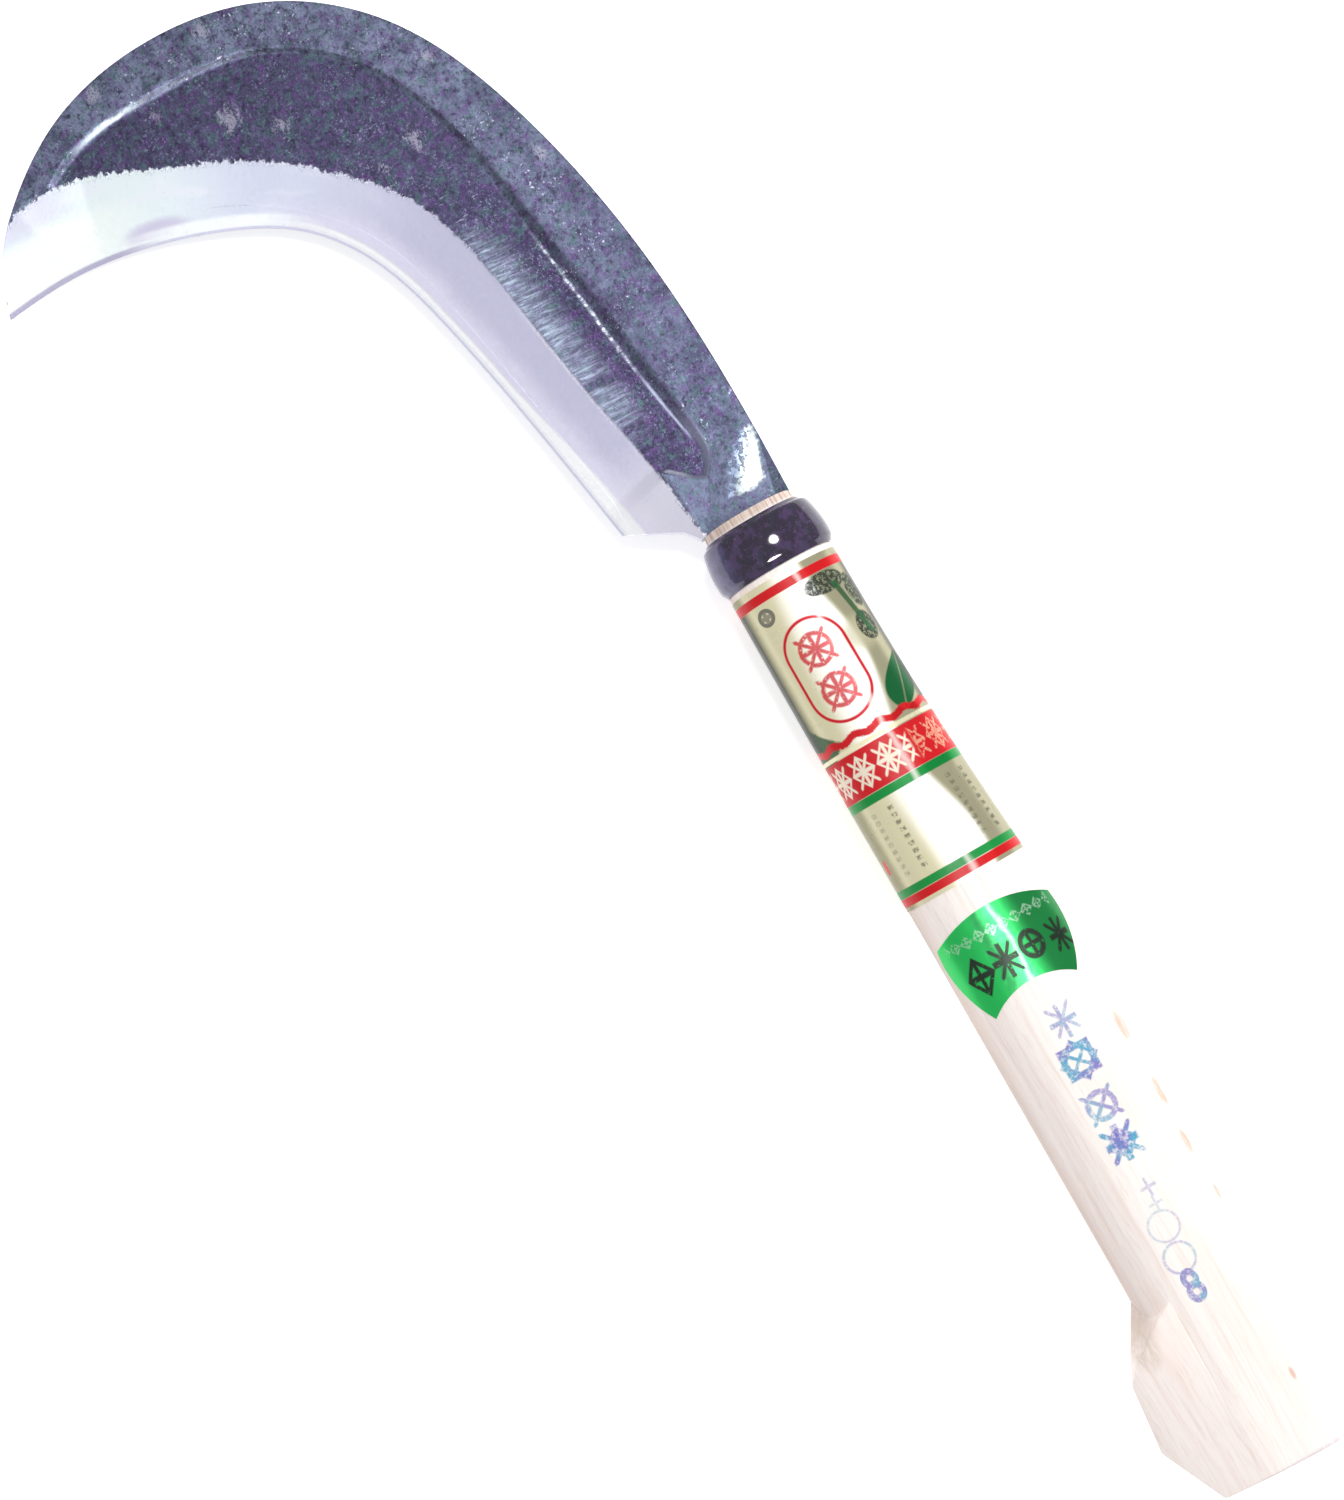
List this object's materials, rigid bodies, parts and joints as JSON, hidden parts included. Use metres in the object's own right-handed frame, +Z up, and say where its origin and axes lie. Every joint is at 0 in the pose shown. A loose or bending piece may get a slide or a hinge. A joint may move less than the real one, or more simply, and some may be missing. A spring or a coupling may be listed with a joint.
{
  "type": "hand sickle",
  "caption": "Forged pruning sickle with a hooked single-bevel blade, an oval oak handle with a flared butt, a domed black ferrule and a foil wrap.",
  "frame": {"origin": "on the table under the middle of the bounding box, with the sickle lying on its back side as it comes to rest: on the blade's tip, the ferrule and the butt", "axes": "+X along the handle from blade to butt, +Y from the cutting edge towards the blade's spine, +Z up out of the ground bevel side. The tool is rolled 4.95 degrees about +X so that the tip touches the table"},
  "size_m": [0.4678, 0.1636, 0.0294],
  "materials": {
    "forged_iron": "dark forge scale, with a bright ground bevel",
    "edge_steel": "fine ground",
    "oak": "bare sanded white oak with ink marks",
    "black_enamel": "gloss black enamel",
    "wedge_wood": "split hardwood",
    "pin_steel": "plain wire",
    "wrap_foil": "printed metallised foil",
    "seal_foil": "green metallised foil"
  },
  "bodies": {
    "root": {"blade_body": "forged_iron", "edge_steel": "edge_steel", "handle": "oak", "ferrule": "black_enamel", "tang_wedge": "wedge_wood", "tang_pin": "pin_steel", "label": "wrap_foil", "green_sticker": "seal_foil"}
  },
  "joints": []
}
